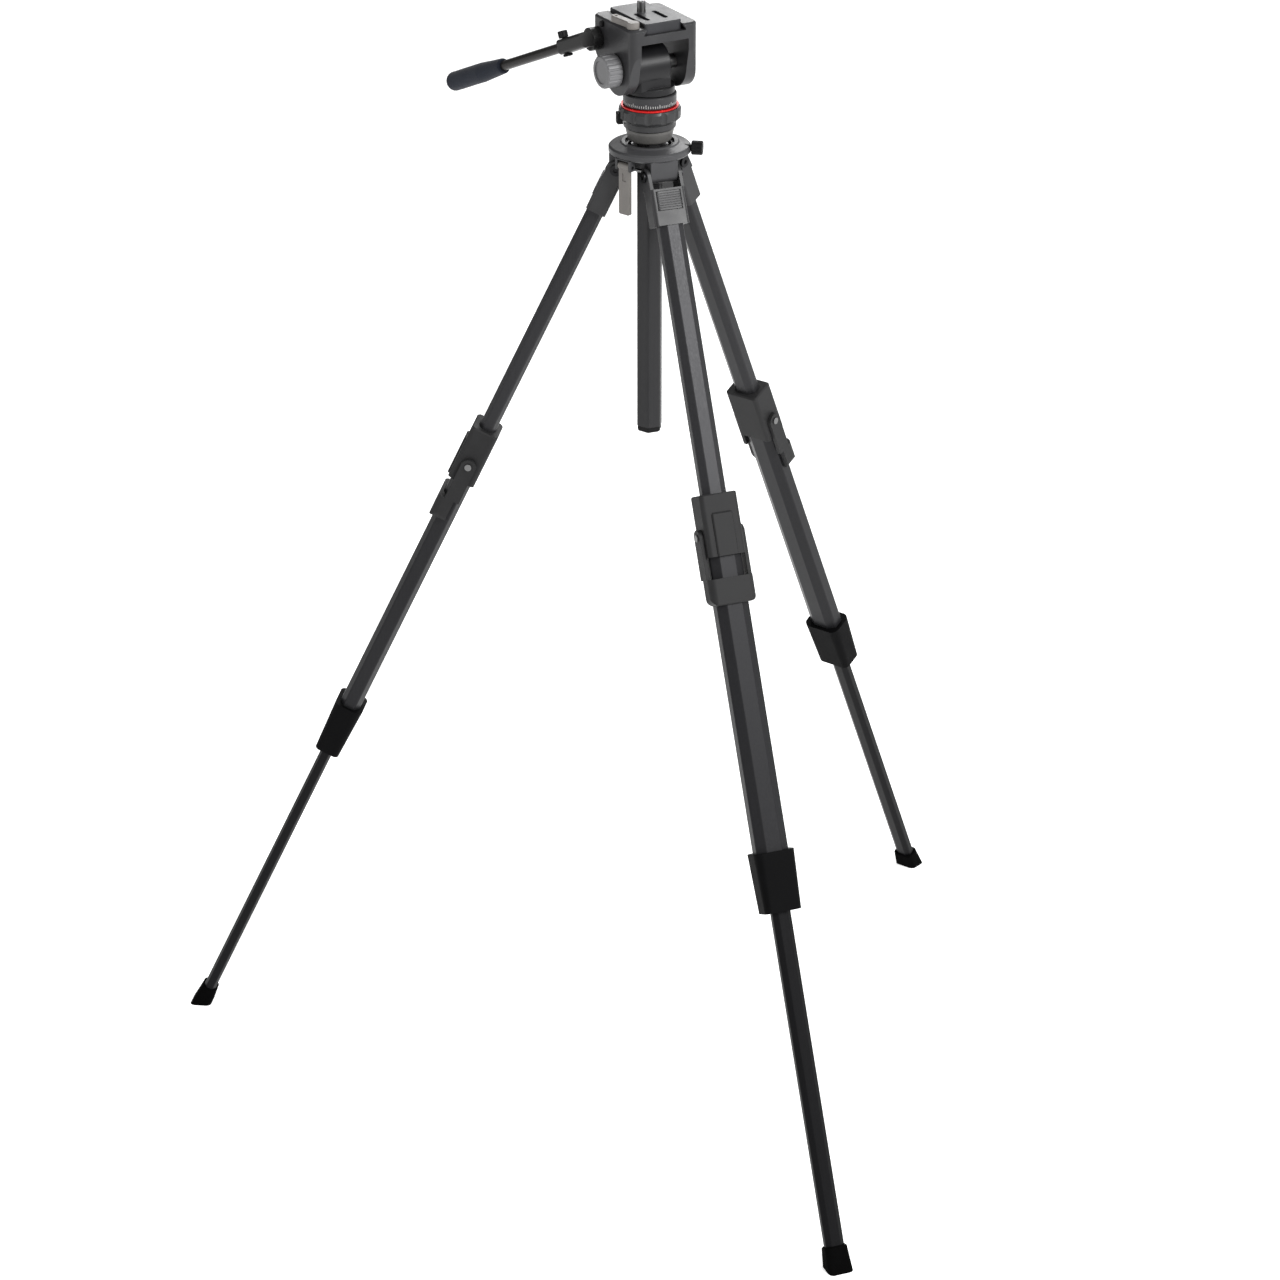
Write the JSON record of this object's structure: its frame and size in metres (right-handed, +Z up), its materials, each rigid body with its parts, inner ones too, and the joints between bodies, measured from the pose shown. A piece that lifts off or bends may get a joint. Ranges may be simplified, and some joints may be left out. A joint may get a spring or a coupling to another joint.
{
  "type": "video tripod with fluid head",
  "caption": "Free-standing camera tripod: telescopic clamp-lock legs, levelling column and a two-axis fluid head with quick-release plate and pan bar.",
  "frame": {"origin": "on the floor, under the middle of the rectangle that the feet fill", "axes": "+Z up, front leg towards -Y, the other legs at 30 and 150 degrees from +X"},
  "size_m": [1.0098, 0.876, 1.3058],
  "materials": {
    "hub_paint": "satin dark grey paint on a die casting",
    "leg_bracket_paint": "satin dark grey paint",
    "fastener_steel": "bright zinc steel",
    "fastener_black": "blackened steel",
    "vial": "clear acrylic with green liquid",
    "upper_tube": "dark grey anodised",
    "mid_tube": "dark grey anodised",
    "lower_tube": "near-black anodised",
    "column_tube": "dark grey anodised",
    "black_plastic": "fine moulded texture",
    "clamp_plastic": "fine moulded texture, dark grey",
    "collar_plastic": "fine moulded texture, black",
    "foot_rubber": "matte black",
    "lever_metal": "bead-blasted, light warm grey",
    "ball_metal": "turned",
    "bowl_metal": "satin warm grey paint",
    "ring_metal": "satin dark grey",
    "red_ring": "red anodised",
    "head_paint": "satin dark grey paint on a die casting",
    "housing_paint": "satin darker grey paint",
    "knob_metal": "satin grey",
    "plate_metal": "dark anodised",
    "bracket_metal": "satin dark paint",
    "bar_metal": "dark bronze anodised",
    "grip_foam": "closed-cell foam, blue grey"
  },
  "bodies": {
    "hub": {"hub_casting": "hub_paint", "hub_fasteners": "fastener_black", "bubble_level": "vial"},
    "front_leg_upper": {"front_leg_bracket": "leg_bracket_paint", "front_leg_upper_tube": "upper_tube"},
    "front_leg_tab": {"front_leg_angle_tab": "leg_bracket_paint"},
    "front_leg_mid": {"front_leg_clamp_body": "clamp_plastic", "front_leg_clamp_pins": "fastener_steel", "front_leg_mid_tube": "mid_tube", "front_leg_lower_collar": "collar_plastic"},
    "front_leg_lever": {"front_leg_clamp_lever": "clamp_plastic"},
    "front_leg_lower": {"front_leg_lower_tube": "lower_tube", "front_leg_foot": "foot_rubber"},
    "left_leg_upper": {"left_leg_bracket": "leg_bracket_paint", "left_leg_upper_tube": "upper_tube"},
    "left_leg_tab": {"left_leg_angle_tab": "leg_bracket_paint"},
    "left_leg_mid": {"left_leg_clamp_body": "clamp_plastic", "left_leg_clamp_pins": "fastener_steel", "left_leg_mid_tube": "mid_tube", "left_leg_lower_collar": "collar_plastic"},
    "left_leg_lever": {"left_leg_clamp_lever": "clamp_plastic"},
    "left_leg_lower": {"left_leg_lower_tube": "lower_tube", "left_leg_foot": "foot_rubber"},
    "right_leg_upper": {"right_leg_bracket": "leg_bracket_paint", "right_leg_upper_tube": "upper_tube"},
    "right_leg_tab": {"right_leg_angle_tab": "leg_bracket_paint"},
    "right_leg_mid": {"right_leg_clamp_body": "clamp_plastic", "right_leg_clamp_pins": "fastener_steel", "right_leg_mid_tube": "mid_tube", "right_leg_lower_collar": "collar_plastic"},
    "right_leg_lever": {"right_leg_clamp_lever": "clamp_plastic"},
    "right_leg_lower": {"right_leg_lower_tube": "lower_tube", "right_leg_foot": "foot_rubber"},
    "column_lock_knob": {"column_lock_knob": "black_plastic"},
    "level_lever": {"level_lever": "lever_metal"},
    "level_ring": {"level_clamp_ring": "fastener_steel"},
    "level_ball": {"level_ball": "ball_metal"},
    "column": {"center_column": "column_tube", "column_end_cap": "black_plastic", "column_bowl": "bowl_metal", "qr_base": "fastener_steel", "qr_red_ring": "red_ring", "head_neck": "head_paint"},
    "qr_lock_ring": {"qr_lock_ring": "ring_metal"},
    "qr_release_button": {"qr_release_button": "black_plastic"},
    "pan_lock_knob": {"pan_lock_knob": "black_plastic"},
    "pan_head": {"head_body": "housing_paint"},
    "cradle": {"tilt_cradle": "head_paint", "tilt_shaft": "fastener_steel"},
    "tilt_knob": {"tilt_knob": "knob_metal"},
    "tilt_lock_lever": {"tilt_lock_lever": "black_plastic"},
    "camera_plate": {"camera_plate": "plate_metal"},
    "camera_screw": {"camera_screw": "fastener_steel"},
    "plate_lock_lever": {"plate_lock_lever": "lever_metal"},
    "plate_safety_button": {"plate_safety_button": "black_plastic"},
    "pan_bar": {"pan_bar_bracket": "bracket_metal", "pan_bar_tube": "bar_metal", "pan_bar_grip": "grip_foam"},
    "pan_bar_clamp_knob": {"pan_bar_clamp_knob": "black_plastic"}
  },
  "joints": [
    {"name": "front_leg_spread", "type": "hinge", "parent": "hub", "child": "front_leg_upper", "pos_m": [0, 0.1055, 1.11981], "axis": [1, 0, 0], "range_deg": [-62.76, 25.24]},
    {"name": "front_leg_tab_pull", "type": "slide", "parent": "front_leg_upper", "child": "front_leg_tab", "axis": [0, -0.9045, 0.4264], "range_m": [0, 0.004], "stiffness_N_per_m": 600},
    {"name": "front_leg_mid_slide", "type": "slide", "parent": "front_leg_upper", "child": "front_leg_mid", "axis": [0, 0.4264, 0.9045], "range_m": [0, 0.296]},
    {"name": "front_leg_lower_slide", "type": "slide", "parent": "front_leg_mid", "child": "front_leg_lower", "axis": [0, 0.4264, 0.9045], "range_m": [0, 0.37]},
    {"name": "front_leg_clamp_open", "type": "hinge", "parent": "front_leg_mid", "child": "front_leg_lever", "pos_m": [0, -0.06762, 0.75257], "axis": [-1, 0, 0], "range_deg": [0, 80]},
    {"name": "left_leg_spread", "type": "hinge", "parent": "hub", "child": "left_leg_upper", "pos_m": [-0.03057, 0.15845, 1.11981], "axis": [-0.5, -0.866, 0], "range_deg": [-62.76, 25.24]},
    {"name": "left_leg_tab_pull", "type": "slide", "parent": "left_leg_upper", "child": "left_leg_tab", "axis": [-0.7833, 0.4523, 0.4264], "range_m": [0, 0.004], "stiffness_N_per_m": 600},
    {"name": "left_leg_mid_slide", "type": "slide", "parent": "left_leg_upper", "child": "left_leg_mid", "axis": [0.3693, -0.2132, 0.9045], "range_m": [0, 0.296]},
    {"name": "left_leg_lower_slide", "type": "slide", "parent": "left_leg_mid", "child": "left_leg_lower", "axis": [0.3693, -0.2132, 0.9045], "range_m": [0, 0.37]},
    {"name": "left_leg_clamp_open", "type": "hinge", "parent": "left_leg_mid", "child": "left_leg_lever", "pos_m": [-0.1805, 0.24501, 0.75257], "axis": [0.5, 0.866, 0], "range_deg": [0, 80]},
    {"name": "right_leg_spread", "type": "hinge", "parent": "hub", "child": "right_leg_upper", "pos_m": [0.03057, 0.15845, 1.11981], "axis": [-0.5, 0.866, 0], "range_deg": [-62.76, 25.24]},
    {"name": "right_leg_tab_pull", "type": "slide", "parent": "right_leg_upper", "child": "right_leg_tab", "axis": [0.7833, 0.4523, 0.4264], "range_m": [0, 0.004], "stiffness_N_per_m": 600},
    {"name": "right_leg_mid_slide", "type": "slide", "parent": "right_leg_upper", "child": "right_leg_mid", "axis": [-0.3693, -0.2132, 0.9045], "range_m": [0, 0.296]},
    {"name": "right_leg_lower_slide", "type": "slide", "parent": "right_leg_mid", "child": "right_leg_lower", "axis": [-0.3693, -0.2132, 0.9045], "range_m": [0, 0.37]},
    {"name": "right_leg_clamp_open", "type": "hinge", "parent": "right_leg_mid", "child": "right_leg_lever", "pos_m": [0.1805, 0.24501, 0.75257], "axis": [0.5, -0.866, 0], "range_deg": [0, 80]},
    {"name": "column_lock_turn", "type": "hinge", "parent": "hub", "child": "column_lock_knob", "pos_m": [0.0401, 0.11765, 1.14331], "axis": [0.866, -0.5, 0], "range_deg": [0, 270]},
    {"name": "level_lever_swing", "type": "hinge", "parent": "hub", "child": "level_lever", "pos_m": [-0.03724, 0.12182, 1.12981], "axis": [-0.454, 0.891, 0], "range_deg": [0, 70]},
    {"name": "level_roll", "type": "hinge", "parent": "hub", "child": "level_ring", "pos_m": [0, 0.1408, 1.13381], "axis": [0.7071, -0.7071, 0], "range_deg": [-6, 6]},
    {"name": "level_pitch", "type": "hinge", "parent": "level_ring", "child": "level_ball", "pos_m": [0, 0.1408, 1.13381], "axis": [0.7071, 0.7071, 0], "range_deg": [-6, 6]},
    {"name": "column_rise", "type": "slide", "parent": "level_ball", "child": "column", "axis": [0, 0, 1], "range_m": [0, 0.27]},
    {"name": "qr_ring_turn", "type": "hinge", "parent": "column", "child": "qr_lock_ring", "pos_m": [0, 0.1408, 1.16581], "axis": [0, 0, 1], "range_deg": [0, 40]},
    {"name": "qr_button_press", "type": "slide", "parent": "qr_lock_ring", "child": "qr_release_button", "axis": [0.9848, -0.1736, 0], "range_m": [0, 0.002], "stiffness_N_per_m": 800},
    {"name": "pan_lock_turn", "type": "hinge", "parent": "column", "child": "pan_lock_knob", "pos_m": [0.015, 0.16678, 1.19996], "axis": [0.5, 0.866, 0], "range_deg": [0, 270]},
    {"name": "pan", "type": "hinge", "parent": "column", "child": "pan_head", "pos_m": [0, 0.1408, 1.20681], "axis": [0, 0, 1], "continuous": true},
    {"name": "tilt", "type": "hinge", "parent": "pan_head", "child": "cradle", "pos_m": [0, 0.1408, 1.23781], "axis": [-0.9905, -0.1374, 0], "range_deg": [-75, 48]},
    {"name": "tilt_knob_turn", "type": "hinge", "parent": "cradle", "child": "tilt_knob", "pos_m": [-0.04259, 0.13489, 1.23781], "axis": [-0.9905, -0.1374, 0], "range_deg": [-120, 120]},
    {"name": "tilt_lock_turn", "type": "hinge", "parent": "cradle", "child": "tilt_lock_lever", "pos_m": [0.04259, 0.14671, 1.23781], "axis": [0.9905, 0.1374, 0], "range_deg": [0, 60]},
    {"name": "plate_slide", "type": "slide", "parent": "cradle", "child": "camera_plate", "axis": [0.1374, -0.9905, 0], "range_m": [-0.02, 0.02]},
    {"name": "camera_screw_turn", "type": "hinge", "parent": "camera_plate", "child": "camera_screw", "pos_m": [-0.00261, 0.15962, 1.29381], "axis": [0, 0, 1], "continuous": true},
    {"name": "plate_lock_swing", "type": "hinge", "parent": "cradle", "child": "plate_lock_lever", "pos_m": [-0.03065, 0.11434, 1.28931], "axis": [0, 0, 1], "range_deg": [0, 70]},
    {"name": "safety_button_press", "type": "slide", "parent": "cradle", "child": "plate_safety_button", "axis": [0.9905, 0.1374, 0], "range_m": [0, 0.0025], "stiffness_N_per_m": 500},
    {"name": "pan_bar_angle", "type": "hinge", "parent": "cradle", "child": "pan_bar", "pos_m": [-0.04809, 0.17451, 1.26381], "axis": [-0.9905, -0.1374, 0], "range_deg": [-60, 35]},
    {"name": "pan_bar_clamp_turn", "type": "hinge", "parent": "pan_bar", "child": "pan_bar_clamp_knob", "pos_m": [-0.07978, 0.19273, 1.25344], "axis": [-0.1092, 0.3835, 0.9171], "range_deg": [0, 270]}
  ]
}
